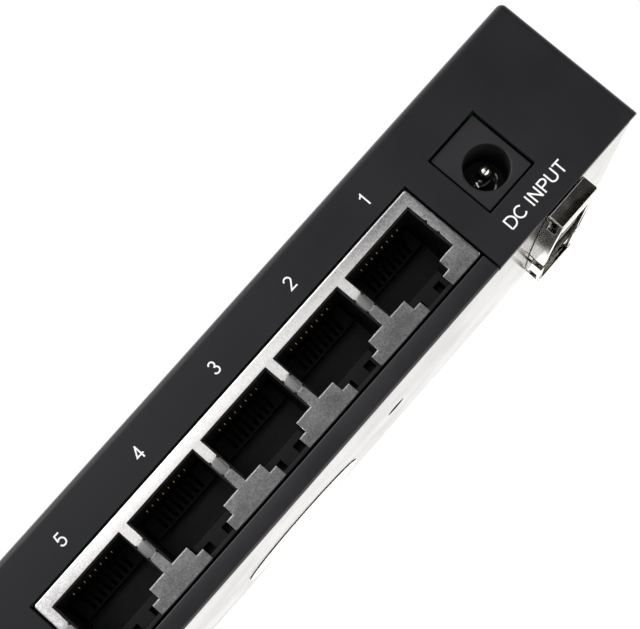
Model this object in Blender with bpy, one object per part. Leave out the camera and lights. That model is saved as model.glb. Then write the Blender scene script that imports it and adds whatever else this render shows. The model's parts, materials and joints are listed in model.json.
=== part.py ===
"""Five-port network switch in a folded steel case, with two sprung rail clips underneath.

X runs along the case with the power jack at +X, the ports face -Y, and +Z is up.
The origin is under the middle of the case, at the height of the clips' lowest faces.
Sizes below are in millimetres; every mesh is written in metres.
"""
import math

import bmesh
import bpy
from mathutils import Matrix, Vector

MM = 0.001
GAP = 0.3            # clearance left between neighbouring pieces

# Case
CASE_L, CASE_D = 110.0, 42.0
CASE_Z0, CASE_Z1 = 2.8, 26.2
SHEET = 1.0          # steel sheet of the cover and the bottom plate
BEND_R = 1.0         # outside radius of the cover's folds
FRONT, BACK = -CASE_D / 2, CASE_D / 2
LIP_TOP = 5.55       # top of the lip below the port block
TAB_Y, TAB_TOP = 17.0, 11.6      # half length and top of the plate's upturned end tabs
PLATE_HOLE = (7.1, 1.4)          # a plain hole through the bottom plate
PLATE_HOLE_R = 1.6
VENTS, VENT_PITCH, VENT_Z = 7, 3.5, 17.0
VENT_W, VENT_L = 1.6, 8.0
LABEL_AT, LABEL_HALF, LABEL_T = (-13.0, 10.6), (11.5, 8.6), 0.2

# Ports
PORTS = 5
PITCH = 13.97
PORT_X1 = 19.47      # middle of port 1, the one nearest the jack
OPEN_W = 12.56       # opening in the shield, widest part
OPEN_Z1 = 17.2
STEP_1_Z, STEP_1_W = 9.4, 6.95
STEP_2_Z, STEP_2_W = 7.74, 4.5
BLOCK_Z0, BLOCK_Z1 = 5.85, 18.98
BLOCK_X0, BLOCK_X1 = -44.19, 27.21
BLOCK_FRONT = FRONT + 0.1
BLOCK_DEPTH = 16.4
SHIELD = 0.4         # shield sheet
CAVITY_DEPTH = 12.6
LATCH_DEPTH = 5.8    # depth of the channel for the plug's latch
POCKET, POCKET_X, POCKET_Z = 1.2, 1.8, 7.67      # the two small pockets at its end
WIRES = 8
WIRE_PITCH = 1.02

# Power jack
JACK_X, JACK_W = 36.5, 8.4
JACK_Z0, JACK_Z1 = 8.75, 18.95
JACK_FRONT, JACK_DEPTH = FRONT + 0.5, 13.5
JACK_BORE_Z, JACK_BORE_R, JACK_BORE_DEPTH = 12.95, 3.18, 9.6
PIN_R = 1.0

# Circuit board, hung under the cover's top
BOARD_Z0, BOARD_T = 19.3, 1.6
BOARD_Z1 = BOARD_Z0 + BOARD_T
BOARD_L, BOARD_D = 105.4, 38.6
BOARD_SCREWS = [(-49.0, 0.5), (-49.0, 15.0), (47.0, -15.0), (47.0, 15.0)]
BOARD_HOLE_R = 1.8
STANDOFF_R = 2.9

# Indicator lamps in the back panel
LAMPS, LAMP_PITCH, LAMP_X0, LAMP_Z = 6, 8.0, -38.0, 15.5
LAMP_R = 1.5

# Cover screws, through each end wall
END_SCREW_Y, END_SCREW_Z = 13.0, 8.0
END_HOLE_R = 3.0     # clearance for the screw's head in the cover
TAB_HOLE_R = 1.8     # clearance for its shank in the tab

# Rail clips
CLIPS = {"right": 40.35, "left": -40.35}
CLIP_W = 7.0
CLIP_T = 0.7
CLIP_TOP = CASE_Z0 - GAP
JAW_FRONT = FRONT + 0.6          # outer face of the latch's jaw
RAIL = 35.0
RAIL_PLAY = 0.2
FLANGE = 4.2                     # reach of the rail's edge into each jaw
JAW_R = 0.3                      # outside radius of the jaws' folds
HOOK_BACK = JAW_FRONT + CLIP_T + RAIL + RAIL_PLAY + CLIP_T
LATCH_END = FRONT + 24.5
BASE_START = LATCH_END + 0.4
LATCH_WALL_END = FRONT + 22.0    # the side walls stop short of the plates' ends
BASE_WALL_START = FRONT + 26.2
TRAVEL = 3.0
SHOULDER_Y = (-11.8, -6.4)       # the two screws that guide the latch
SHOULDER_HOLE_R = 1.6
SHOULDER_TIP = CASE_Z0 + 2.4
RIVET_Y = (5.8, 9.7)             # the two rivets that fix the base
RIVET_OFF = -1.0                 # their offset in X, which leaves room for the spring

SEGMENTS = 24
DRAFT = 0.96         # a moulded package's far face, as a share of its near one


def clear_scene():
    for obj in list(bpy.data.objects):
        bpy.data.objects.remove(obj, do_unlink=True)


def material(name, rgb, roughness, metallic):
    mat = bpy.data.materials.new(name)
    mat.use_nodes = True
    shader = mat.node_tree.nodes["Principled BSDF"]
    shader.inputs["Base Color"].default_value = (*rgb, 1.0)
    shader.inputs["Roughness"].default_value = roughness
    shader.inputs["Metallic"].default_value = metallic
    return mat


def add_object(name, bm, mat, smooth=False):
    """Turn a bmesh, built in millimetres, into a named object in metres."""
    bmesh.ops.scale(bm, vec=(MM, MM, MM), verts=bm.verts)
    bmesh.ops.recalc_face_normals(bm, faces=bm.faces)
    mesh = bpy.data.meshes.new(name)
    bm.to_mesh(mesh)
    bm.free()
    mesh.materials.append(mat)
    if smooth:
        mesh.shade_smooth()
        mesh.set_sharp_from_angle(angle=math.radians(35))
    obj = bpy.data.objects.new(name, mesh)
    bpy.context.scene.collection.objects.link(obj)
    return obj


def add_box(bm, lo, hi):
    size = [b - a for a, b in zip(lo, hi)]
    middle = [(a + b) / 2 for a, b in zip(lo, hi)]
    matrix = Matrix.Translation(middle) @ Matrix.Diagonal((*size, 1.0))
    return bmesh.ops.create_cube(bm, size=1.0, matrix=matrix)["verts"]


AXES = {
    "X": lambda u, v, w: (w, u, v),
    "Y": lambda u, v, w: (u, w, v),
    "Z": lambda u, v, w: (u, v, w),
}


def add_prism(bm, outline, axis, lo, hi):
    """Extrude a closed outline, given in the two other axes, along axis from lo to hi."""
    place = AXES[axis]
    low = [bm.verts.new(place(u, v, lo)) for u, v in outline]
    high = [bm.verts.new(place(u, v, hi)) for u, v in outline]
    bm.faces.new(low)
    bm.faces.new(high)
    for i, vert in enumerate(low):
        j = (i + 1) % len(low)
        bm.faces.new((vert, low[j], high[j], high[i]))


def add_turned(bm, profile, axis, centre, segments=SEGMENTS):
    """Spin a profile of (radius, height) points, both ends on the axis, about axis through centre."""
    place = AXES[axis]
    rings = []
    for radius, height in profile:
        if radius == 0:
            rings.append([bm.verts.new(place(centre[0], centre[1], height))])
            continue
        ring = []
        for k in range(segments):
            turn = 2 * math.pi * k / segments
            point = (centre[0] + radius * math.cos(turn), centre[1] + radius * math.sin(turn))
            ring.append(bm.verts.new(place(*point, height)))
        rings.append(ring)
    for below, above in zip(rings, rings[1:]):
        for k in range(segments):
            n = (k + 1) % segments
            corners = [below[k % len(below)], below[n % len(below)]]
            corners += [above[n % len(above)], above[k % len(above)]]
            unique = list(dict.fromkeys(corners))
            bm.faces.new(unique)


def rod(radius, lo, hi):
    return [(0, lo), (radius, lo), (radius, hi), (0, hi)]


def arc(centre, radius, start, stop, steps):
    """Points of an arc, with its angles in degrees."""
    points = []
    for k in range(steps + 1):
        turn = math.radians(start + (stop - start) * k / steps)
        points.append((centre[0] + radius * math.cos(turn), centre[1] + radius * math.sin(turn)))
    return points


def slot_outline(centre, width, length):
    """A slot with round ends, its length along the second axis."""
    half = length / 2 - width / 2
    top = arc((centre[0], centre[1] + half), width / 2, 0, 180, 8)
    return top + arc((centre[0], centre[1] - half), width / 2, 180, 360, 8)


def combine(obj, others, operation):
    """Apply an exact Boolean of obj with each of the others, which are used up."""
    for other in others:
        modifier = obj.modifiers.new("combine", "BOOLEAN")
        modifier.operation = operation
        modifier.object = other
        modifier.solver = "EXACT"
        graph = bpy.context.evaluated_depsgraph_get()
        result = bpy.data.meshes.new_from_object(obj.evaluated_get(graph))
        obj.modifiers.clear()
        obj.data = result
        bpy.data.objects.remove(other, do_unlink=True)
    return obj


def helper(build, mat):
    """A temporary object, made by build(bm), for combine to use up."""
    bm = bmesh.new()
    build(bm)
    return add_object("helper", bm, mat)


def port_x(index):
    return PORT_X1 - PITCH * index


def opening_outline(x):
    """Stepped outline of a port's opening, in X and Z, from its top to below the shield."""
    half = OPEN_W / 2
    step_1 = STEP_1_W / 2
    step_2 = STEP_2_W / 2
    right = [(half, OPEN_Z1), (half, STEP_1_Z), (step_1, STEP_1_Z), (step_1, STEP_2_Z)]
    right += [(step_2, STEP_2_Z), (step_2, BLOCK_Z0 - 1)]
    left = [(-u, v) for u, v in reversed(right)]
    return [(x + u, v) for u, v in right + left]


# Case ---------------------------------------------------------------------------------------

def make_cover(mat):
    bm = bmesh.new()
    half = CASE_L / 2
    add_box(bm, (-half, FRONT, CASE_Z0), (half, BACK, CASE_Z1))
    folds = [e for e in bm.edges if max(v.co.z for v in e.verts) > CASE_Z1 - 0.1]
    bmesh.ops.bevel(bm, geom=folds, offset=BEND_R, segments=4, profile=0.5, affect="EDGES")
    cover = add_object("top_cover", bm, mat)

    inside = half - SHEET
    hollow = helper(lambda b: add_box(b, (-inside, FRONT + SHEET, CASE_Z0 - 2),
                                      (inside, BACK - SHEET, CASE_Z1 - SHEET)), mat)
    notch = helper(lambda b: add_box(b, (BLOCK_X0 - GAP, FRONT - 1, CASE_Z0 - 1),
                                     (BLOCK_X1 + GAP, FRONT + 2, BLOCK_Z1 + GAP)), mat)
    jack = helper(lambda b: add_box(b, (JACK_X - JACK_W / 2 - GAP, FRONT - 1, JACK_Z0 - GAP),
                                    (JACK_X + JACK_W / 2 + GAP, FRONT + 2, JACK_Z1 + GAP)), mat)

    def lamp_holes(b):
        for k in range(LAMPS):
            centre = (LAMP_X0 + LAMP_PITCH * k, LAMP_Z)
            add_turned(b, rod(LAMP_R + GAP, BACK - 3, BACK + 1), "Y", centre)

    def end_holes(b):
        for y in (-END_SCREW_Y, END_SCREW_Y):
            for side in (-1, 1):
                span = sorted((side * (half - 3), side * (half + 1)))
                add_turned(b, rod(END_HOLE_R, *span), "X", (y, END_SCREW_Z))

    def vents(b):
        for k in range(VENTS):
            y = VENT_PITCH * (k - (VENTS - 1) / 2)
            outline = slot_outline((y, VENT_Z), VENT_W, VENT_L)
            for side in (-1, 1):
                span = sorted((side * (half - 3), side * (half + 1)))
                add_prism(b, outline, "X", *span)

    cutters = [hollow, notch, jack]
    cutters += [helper(lamp_holes, mat), helper(end_holes, mat), helper(vents, mat)]
    return combine(cover, cutters, "DIFFERENCE")


def make_bottom_plate(mat):
    x_in = CASE_L / 2 - SHEET - GAP
    y_in = BACK - SHEET - GAP
    z0, z1 = CASE_Z0, CASE_Z0 + SHEET
    bm = bmesh.new()
    add_box(bm, (-x_in, -y_in, z0), (x_in, y_in, z1))
    plate = add_object("bottom_plate", bm, mat)

    # The front lip: an L-shaped fold, with its inner corner sharp and its outer one round.
    inner = FRONT + SHEET
    fold = arc((FRONT + BEND_R, z0 + BEND_R), BEND_R, 270, 180, 4)
    profile = [(-y_in + 0.5, z0)] + fold
    profile += [(FRONT, LIP_TOP), (inner, LIP_TOP), (inner, z1), (-y_in + 0.5, z1)]
    lip = helper(lambda b: add_prism(b, profile, "X", BLOCK_X0, BLOCK_X1), mat)
    joined = [lip]
    for side in (-1, 1):
        span = sorted((side * (x_in - SHEET), side * x_in))
        low = (span[0], -TAB_Y, z0 + 0.2)
        high = (span[1], TAB_Y, TAB_TOP)
        joined.append(helper(lambda b, lo=low, hi=high: add_box(b, lo, hi), mat))
    combine(plate, joined, "UNION")

    def holes(b):
        for y in (-END_SCREW_Y, END_SCREW_Y):
            for side in (-1, 1):
                span = sorted((side * (x_in - 3), side * (x_in + 1)))
                add_turned(b, rod(TAB_HOLE_R, *span), "X", (y, END_SCREW_Z), 16)
        for x in CLIPS.values():
            for y in SHOULDER_Y:
                add_turned(b, rod(SHOULDER_HOLE_R, z0 - 1, z1 + 1), "Z", (x, y), 16)
        add_turned(b, rod(PLATE_HOLE_R, z0 - 1, z1 + 1), "Z", PLATE_HOLE, 16)

    return combine(plate, [helper(holes, mat)], "DIFFERENCE")


def make_end_screws(mat):
    """Flat-headed screws that hold the cover to the bottom plate's end tabs."""
    half = CASE_L / 2
    number = 0
    for side in (1, -1):
        for y in (-END_SCREW_Y, END_SCREW_Y):
            number += 1
            face = side * (half - 0.1)
            under = side * (half - 0.95)
            tip = side * (half - 5.5)
            profile = [(0, face), (2.45, face), (2.6, face - side * 0.2)]
            profile += [(1.5, under), (1.5, tip), (0, tip)]
            bm = bmesh.new()
            add_turned(bm, profile, "X", (y, END_SCREW_Z), 20)
            screw = add_object(f"cover_screw_{number}", bm, mat, smooth=True)
            cross = helper(lambda b, s=side, yy=y: cross_recess(b, s * (half - 0.1), s, yy), mat)
            combine(screw, [cross], "DIFFERENCE")


def cross_recess(bm, face, side, y):
    """A plus-shaped driver recess in a screw head that faces along X."""
    arm, width, depth = 1.4, 0.25, 0.6
    span = sorted((face + side * 0.5, face - side * depth))
    outline = [(arm, width), (width, width), (width, arm)]
    outline += [(-u, v) for u, v in reversed(outline)]
    outline += [(-u, -v) for u, v in outline]
    add_prism(bm, [(y + u, END_SCREW_Z + v) for u, v in outline], "X", *span)


def make_label(mat):
    """An oval, blank label on the underside."""
    bm = bmesh.new()
    top = CASE_Z0 - GAP
    outline = []
    for k in range(48):
        turn = 2 * math.pi * k / 48
        x = LABEL_AT[0] + LABEL_HALF[0] * math.cos(turn)
        outline.append((x, LABEL_AT[1] + LABEL_HALF[1] * math.sin(turn)))
    add_prism(bm, outline, "Z", top - LABEL_T, top)
    add_object("rating_label", bm, mat)


# Ports ---------------------------------------------------------------------------------------

def make_shield(mat):
    """Tinned shield: a stepped front plate, folded back over the top and both ends."""
    y0 = BLOCK_FRONT
    y1 = BLOCK_FRONT + BLOCK_DEPTH
    bm = bmesh.new()
    add_box(bm, (BLOCK_X0, y0, BLOCK_Z0), (BLOCK_X1, y1, BLOCK_Z1))
    folds = []
    for edge in bm.edges:
        along_y = abs(edge.verts[0].co.y - edge.verts[1].co.y) > 1
        if along_y:
            folds.append(edge)
    bmesh.ops.bevel(bm, geom=folds, offset=0.4, segments=2, profile=0.5, affect="EDGES")
    shield = add_object("port_shield", bm, mat)
    hollow = helper(lambda b: add_box(b, (BLOCK_X0 + SHIELD, y0 + SHIELD, BLOCK_Z0 - 1),
                                      (BLOCK_X1 - SHIELD, y1 + 1, BLOCK_Z1 - SHIELD)), mat)

    def openings(b):
        for k in range(PORTS):
            add_prism(b, opening_outline(port_x(k)), "Y", y0 - 1, y0 + 1)

    return combine(shield, [hollow, helper(openings, mat)], "DIFFERENCE")


def make_housing(mat):
    """The moulded block behind the shield, with a cavity and a latch channel for each port."""
    inset = SHIELD + GAP
    y0 = BLOCK_FRONT + inset
    y1 = BLOCK_FRONT + BLOCK_DEPTH - 0.2
    bm = bmesh.new()
    add_box(bm, (BLOCK_X0 + inset, y0, BLOCK_Z0 + 0.1), (BLOCK_X1 - inset, y1, BLOCK_Z1 - inset))
    housing = add_object("port_housing", bm, mat)

    def cavities(b):
        for k in range(PORTS):
            x = port_x(k)
            half = OPEN_W / 2 - 0.3
            low = (x - half, y0 - 1, STEP_1_Z - 0.1)
            add_box(b, low, (x + half, FRONT + CAVITY_DEPTH, OPEN_Z1 - 0.2))

    def channels(b):
        for k in range(PORTS):
            x = port_x(k)
            half = STEP_1_W / 2 - 0.1
            low = (x - half, y0 - 1, BLOCK_Z0 + 0.6)
            add_box(b, low, (x + half, FRONT + LATCH_DEPTH, STEP_1_Z + 1))

    def pockets(b):
        y = FRONT + LATCH_DEPTH
        for k in range(PORTS):
            for x in (port_x(k) - POCKET_X, port_x(k) + POCKET_X):
                low = (x - POCKET / 2, y - 0.5, POCKET_Z - POCKET / 2)
                add_box(b, low, (x + POCKET / 2, y + 2.5, POCKET_Z + POCKET / 2))

    cutters = [helper(cavities, mat), helper(channels, mat), helper(pockets, mat)]
    return combine(housing, cutters, "DIFFERENCE")


def make_contact_sets(mat):
    """Each port's eight sprung wires with the comb that carries them, at the top of the cavity."""
    back = FRONT + CAVITY_DEPTH - GAP
    comb_front = back - 2.2
    comb_z0, comb_z1 = 13.75, 16.7
    tip_y, tip_z = FRONT + 2.4, 16.35
    root_z = 14.4
    wire = 0.36
    for k in range(PORTS):
        x = port_x(k)
        bm = bmesh.new()
        add_box(bm, (x - 5.6, comb_front, comb_z0), (x + 5.6, back, comb_z1))
        comb = add_object(f"contact_set_{k + 1}", bm, mat)

        def wires(b, x=x):
            for n in range(WIRES):
                left = x + (n - (WIRES - 1) / 2) * WIRE_PITCH - wire / 2
                profile = [(comb_front + 0.6, root_z), (tip_y, tip_z), (tip_y, tip_z + wire)]
                profile += [(comb_front + 0.6, root_z + wire)]
                add_prism(b, profile, "X", left, left + wire)

        combine(comb, [helper(wires, mat)], "UNION")


def make_jack(housing_mat, metal_mat):
    y0, y1 = JACK_FRONT, JACK_FRONT + JACK_DEPTH
    half = JACK_W / 2
    bm = bmesh.new()
    add_box(bm, (JACK_X - half, y0, JACK_Z0), (JACK_X + half, y1, JACK_Z1))
    housing = add_object("jack_housing", bm, housing_mat)
    bore_end = y0 + JACK_BORE_DEPTH
    centre = (JACK_X, JACK_BORE_Z)
    hole = rod(JACK_BORE_R, y0 - 1, bore_end)
    bore = helper(lambda b: add_turned(b, hole, "Y", centre, 32), housing_mat)
    combine(housing, [bore], "DIFFERENCE")

    tip = FRONT + 2.3
    pin = [(0, tip), (PIN_R * 0.55, tip + 0.08), (PIN_R * 0.9, tip + 0.35), (PIN_R, tip + 0.8)]
    pin += [(PIN_R, bore_end - GAP), (0, bore_end - GAP)]
    bm = bmesh.new()
    add_turned(bm, pin, "Y", centre, 20)
    add_object("jack_pin", bm, metal_mat, smooth=True)

    # The sleeve contact is a curved leaf that follows the lower left of the bore.
    outer, inner = JACK_BORE_R - GAP, JACK_BORE_R - GAP - 0.3
    leaf = arc(centre, outer, 195, 250, 5) + arc(centre, inner, 250, 195, 5)
    bm = bmesh.new()
    add_prism(bm, leaf, "Y", FRONT + 3.2, bore_end - GAP)
    add_object("jack_contact", bm, metal_mat)


# Circuit board -------------------------------------------------------------------------------

def make_board(board_mat, steel_mat):
    bm = bmesh.new()
    add_box(bm, (-BOARD_L / 2, -BOARD_D / 2, BOARD_Z0), (BOARD_L / 2, BOARD_D / 2, BOARD_Z1))
    board = add_object("circuit_board", bm, board_mat)

    def holes(b):
        for centre in BOARD_SCREWS:
            add_turned(b, rod(BOARD_HOLE_R, BOARD_Z0 - 1, BOARD_Z1 + 1), "Z", centre, 16)

    combine(board, [helper(holes, board_mat)], "DIFFERENCE")

    top = CASE_Z1 - SHEET - GAP
    for number, centre in enumerate(BOARD_SCREWS, 1):
        outline = arc(centre, STANDOFF_R, 30, 330, 5)
        bm = bmesh.new()
        add_prism(bm, outline, "Z", BOARD_Z1 + GAP, top)
        standoff = add_object(f"board_standoff_{number}", bm, steel_mat)
        thread = rod(BOARD_HOLE_R, BOARD_Z1 - 1, top - 0.8)
        bore = helper(lambda b, c=centre, t=thread: add_turned(b, t, "Z", c, 16), steel_mat)
        combine(standoff, [bore], "DIFFERENCE")

        head = BOARD_Z0 - GAP
        profile = [(0, head - 1.4), (1.7, head - 1.4), (2.4, head - 0.9), (2.5, head), (1.45, head)]
        profile += [(1.45, top - 1.3), (0, top - 1.3)]
        bm = bmesh.new()
        add_turned(bm, profile, "Z", centre, 16)
        add_object(f"board_screw_{number}", bm, steel_mat, smooth=True)


def add_package(name, centre, size, mat, lead=0.5):
    """A flat electronic package hung under the board, with a row of leads as one foot each side."""
    top = BOARD_Z0 - GAP
    x, y = centre
    length, width, height = size
    bm = bmesh.new()
    corner = (x - length / 2, y - width / 2, top - height)
    verts = add_box(bm, corner, (x + length / 2, y + width / 2, top - 0.1))
    for vert in verts:
        if vert.co.z < top - height + 0.1:
            vert.co.x = x + (vert.co.x - x) * DRAFT
            vert.co.y = y + (vert.co.y - y) * DRAFT
    body = add_object(name, bm, mat)
    foot = helper(lambda b: add_box(b, (x - length / 2 + 0.6, y - width / 2 - lead, top - 0.6),
                                    (x + length / 2 - 0.6, y + width / 2 + lead, top)), mat)
    return combine(body, [foot], "UNION")


def add_can(name, centre, radius, height, mat):
    """An electrolytic capacitor, with the rolled groove near its base."""
    top = BOARD_Z0 - GAP
    low = top - height
    profile = [(0, low), (radius - 0.4, low), (radius, low + 0.4), (radius, top - 1.8)]
    profile += [(radius - 0.35, top - 1.5), (radius, top - 1.2), (radius, top), (0, top)]
    bm = bmesh.new()
    add_turned(bm, profile, "Z", centre, SEGMENTS)
    add_object(name, bm, mat, smooth=True)


def make_components(chip_mat, can_mat, metal_mat):
    for k in range(PORTS):
        add_package(f"transformer_{k + 1}", (port_x(k), 0.0), (10.6, 6.4, 5.8), chip_mat, 0.45)
    add_package("switch_chip", (18.5, 11.6), (12.0, 11.0, 1.6), chip_mat, 0.8)
    add_package("memory_chip", (30.7, 14.5), (5.0, 3.9, 1.5), chip_mat, 0.9)
    add_package("regulator_chip", (34.3, 8.0), (5.0, 3.9, 1.5), chip_mat, 0.9)
    add_package("inductor", (42.7, 8.0), (7.0, 6.6, 4.2), chip_mat, 0.0)
    add_can("capacitor_1", (37.5, -0.2), 3.15, 7.0, can_mat)
    add_can("capacitor_2", (47.5, 0.2), 3.15, 7.0, can_mat)

    outline = slot_outline((28.5, 0.4), 4.4, 10.4)
    bm = bmesh.new()
    add_prism(bm, outline, "Z", BOARD_Z0 - GAP - 3.4, BOARD_Z0 - GAP)
    add_object("crystal", bm, metal_mat)


def make_lamps(holder_mat, lens_mat):
    """Indicator lamps, each a domed lens on a stem, held in one moulded spacer."""
    base_y, front_y = 13.6, 16.6
    first, last = LAMP_X0 - 3.0, LAMP_X0 + LAMP_PITCH * (LAMPS - 1) + 3.0
    bm = bmesh.new()
    add_box(bm, (first, base_y, LAMP_Z - 2.6), (last, front_y, BOARD_Z0 - GAP))
    holder = add_object("lamp_holder", bm, holder_mat)

    def sockets(b):
        for k in range(LAMPS):
            centre = (LAMP_X0 + LAMP_PITCH * k, LAMP_Z)
            add_turned(b, rod(LAMP_R + 0.6, base_y - 1, front_y + 1), "Y", centre)

    combine(holder, [helper(sockets, holder_mat)], "DIFFERENCE")

    end = BACK - 0.05
    for k in range(LAMPS):
        flange = LAMP_R + 0.25
        profile = [(0, base_y + 0.2), (flange, base_y + 0.2), (flange, base_y + 1.0)]
        profile.append((LAMP_R, base_y + 1.0))
        for step in range(5):
            turn = math.radians(90 * step / 4)
            profile.append((LAMP_R * math.cos(turn), end - LAMP_R * (1 - math.sin(turn))))
        profile[-1] = (0, end)
        bm = bmesh.new()
        add_turned(bm, profile, "Y", (LAMP_X0 + LAMP_PITCH * k, LAMP_Z), 20)
        add_object(f"lamp_{k + 1}", bm, lens_mat, smooth=True)


# Rail clips ----------------------------------------------------------------------------------

def jaw_profile(outer, direction, plate_end):
    """Side outline of a hooked strip, in Y and Z: plate, jaw and the lip under the rail's edge."""
    radius = JAW_R
    lip_end = outer + direction * (CLIP_T + 1.9)
    inner = outer + direction * CLIP_T
    if direction > 0:
        top = arc((outer + radius, CLIP_TOP - radius), radius, 90, 180, 4)
        low = arc((outer + radius, radius), radius, 180, 270, 4)
    else:
        top = arc((outer - radius, CLIP_TOP - radius), radius, 90, 0, 4)
        low = arc((outer - radius, radius), radius, 0, -90, 4)
    under = CLIP_TOP - CLIP_T
    points = [(plate_end, CLIP_TOP)] + top + low + [(lip_end, 0.0), (lip_end, CLIP_T)]
    return points + [(inner, CLIP_T), (inner, under), (plate_end, under)]


def bowed_wall(x, y0, y1, bow, thickness):
    """Plan outline of a side wall that bows towards -X between y0 and y1."""
    steps = 8
    outer, inner = [], []
    for k in range(steps + 1):
        y = y0 + (y1 - y0) * k / steps
        along = (y - JAW_FRONT) / (HOOK_BACK - JAW_FRONT)
        offset = bow * math.sin(math.pi * along)
        outer.append((x - offset, y))
        inner.append((x - offset + thickness, y))
    return outer + list(reversed(inner))


def make_clip(side, x, metal_mat, spring_mat, screw_mat):
    half = CLIP_W / 2
    bow = 1.0
    under = CLIP_TOP - CLIP_T
    wall_z = (0.2, CLIP_TOP - 0.05)
    jaw_in, hook_in = JAW_FRONT + CLIP_T, HOOK_BACK - CLIP_T

    # Latch: jaw, plate with a guide slot, bowed side walls and the tail that the spring pulls on.
    bm = bmesh.new()
    add_prism(bm, jaw_profile(JAW_FRONT, 1, LATCH_END), "X", x - half, x + half)
    latch = add_object(f"clip_latch_{side}", bm, metal_mat)
    tail_y = FRONT + 21.0

    def left_wall(b):
        add_prism(b, bowed_wall(x - half, jaw_in - 0.1, LATCH_WALL_END, bow, CLIP_T), "Z", *wall_z)

    def web(b):
        outline = bowed_wall(x - half, jaw_in + 1, LATCH_END - 0.1, bow, 1.8)
        add_prism(b, outline, "Z", under + 0.05, CLIP_TOP - 0.05)

    def right_wall(b):
        low = (x + half - CLIP_T, jaw_in - 0.1, wall_z[0])
        add_box(b, low, (x + half - 0.02, LATCH_WALL_END, wall_z[1]))

    def rail_slot(b, y0, y1):
        """Room for the rail's edge, through both side walls."""
        add_box(b, (x - half - 2, y0, CLIP_T + 0.02), (x + half + 2, y1, under - 0.02))

    def tail(b):
        add_box(b, (x - half - 0.6, tail_y, 0.15), (x + half - 0.1, tail_y + CLIP_T, wall_z[1]))

    def ear(b):
        add_box(b, (x + half - 0.5, tail_y, 0.55), (x + half + 1.6, tail_y + CLIP_T, wall_z[1]))

    parts = [helper(build, metal_mat) for build in (web, left_wall, right_wall, tail, ear)]
    combine(latch, parts, "UNION")
    first, last = SHOULDER_Y
    slot_len = (last - first) + 3.2 + TRAVEL + 0.6
    slot_y = first - 1.9 + slot_len / 2
    outline = slot_outline((x, slot_y), 3.2, slot_len)
    slot = helper(lambda b: add_prism(b, outline, "Z", under - 0.3, CLIP_TOP + 1), metal_mat)
    near = helper(lambda b: rail_slot(b, jaw_in + 0.02, jaw_in + FLANGE), metal_mat)
    combine(latch, [slot, near], "DIFFERENCE")

    # Base: fixed hook, plate and short side walls.
    bm = bmesh.new()
    add_prism(bm, jaw_profile(HOOK_BACK, -1, BASE_START), "X", x - half, x + half)
    base = add_object(f"clip_base_{side}", bm, metal_mat)
    wall_start = BASE_WALL_START

    def base_left(b):
        add_prism(b, bowed_wall(x - half, wall_start, hook_in + 0.1, bow, CLIP_T), "Z", *wall_z)

    def base_web(b):
        outline = bowed_wall(x - half, wall_start + 0.1, hook_in - 1, bow, 1.8)
        add_prism(b, outline, "Z", under + 0.05, CLIP_TOP - 0.05)

    def base_right(b):
        low = (x + half - CLIP_T, wall_start, wall_z[0])
        add_box(b, low, (x + half - 0.02, hook_in + 0.1, wall_z[1]))

    combine(base, [helper(build, metal_mat) for build in (base_web, base_left, base_right)], "UNION")

    def rivet_holes(b):
        for y in RIVET_Y:
            add_turned(b, rod(1.4, under - 1, CLIP_TOP + 1), "Z", (x + RIVET_OFF, y), 16)

    far = helper(lambda b: rail_slot(b, hook_in - FLANGE, hook_in - 0.02), metal_mat)
    combine(base, [helper(rivet_holes, metal_mat), far], "DIFFERENCE")

    for number, y in enumerate(SHOULDER_Y, 1):
        head = under - GAP
        profile = [(0, head - 0.9), (2.0, head - 0.9), (2.45, head - 0.5), (2.45, head), (1.25, head)]
        profile += [(1.25, SHOULDER_TIP), (0, SHOULDER_TIP)]
        bm = bmesh.new()
        add_turned(bm, profile, "Z", (x, y), 16)
        add_object(f"clip_screw_{side}_{number}", bm, screw_mat, smooth=True)
    for number, y in enumerate(RIVET_Y, 1):
        head = under - 0.15
        profile = [(0, head - 0.7), (0.9, head - 0.65), (1.5, head - 0.35), (1.7, head), (1.1, head)]
        profile += [(1.1, CASE_Z0 - 0.1), (0, CASE_Z0 - 0.1)]
        bm = bmesh.new()
        add_turned(bm, profile, "Z", (x + RIVET_OFF, y), 16)
        add_object(f"clip_rivet_{side}_{number}", bm, screw_mat, smooth=True)
    make_spring(side, x + 1.8, tail_y + CLIP_T + GAP, spring_mat)


def make_spring(side, x, start, mat):
    """The coil that pulls the latch shut, between the latch's tail and the fixed base."""
    turns, radius, wire, length = 7, 0.5, 0.14, 6.6
    per_turn, sides = 10, 5
    bm = bmesh.new()
    rings = []
    for k in range(turns * per_turn + 1):
        turn = 2 * math.pi * k / per_turn
        centre = Vector((x + radius * math.cos(turn), start + wire + length * k / (turns * per_turn),
                         1.0 + radius * math.sin(turn)))
        outward = Vector((math.cos(turn), 0, math.sin(turn)))
        ring = []
        for s in range(sides):
            lean = 2 * math.pi * s / sides
            offset = outward * math.cos(lean) + Vector((0, 1, 0)) * math.sin(lean)
            ring.append(bm.verts.new(centre + offset * wire))
        rings.append(ring)
    for below, above in zip(rings, rings[1:]):
        for s in range(sides):
            n = (s + 1) % sides
            bm.faces.new((below[s], below[n], above[n], above[s]))
    bm.faces.new(rings[0])
    bm.faces.new(rings[-1])
    add_object(f"clip_spring_{side}", bm, mat, smooth=True)


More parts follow.
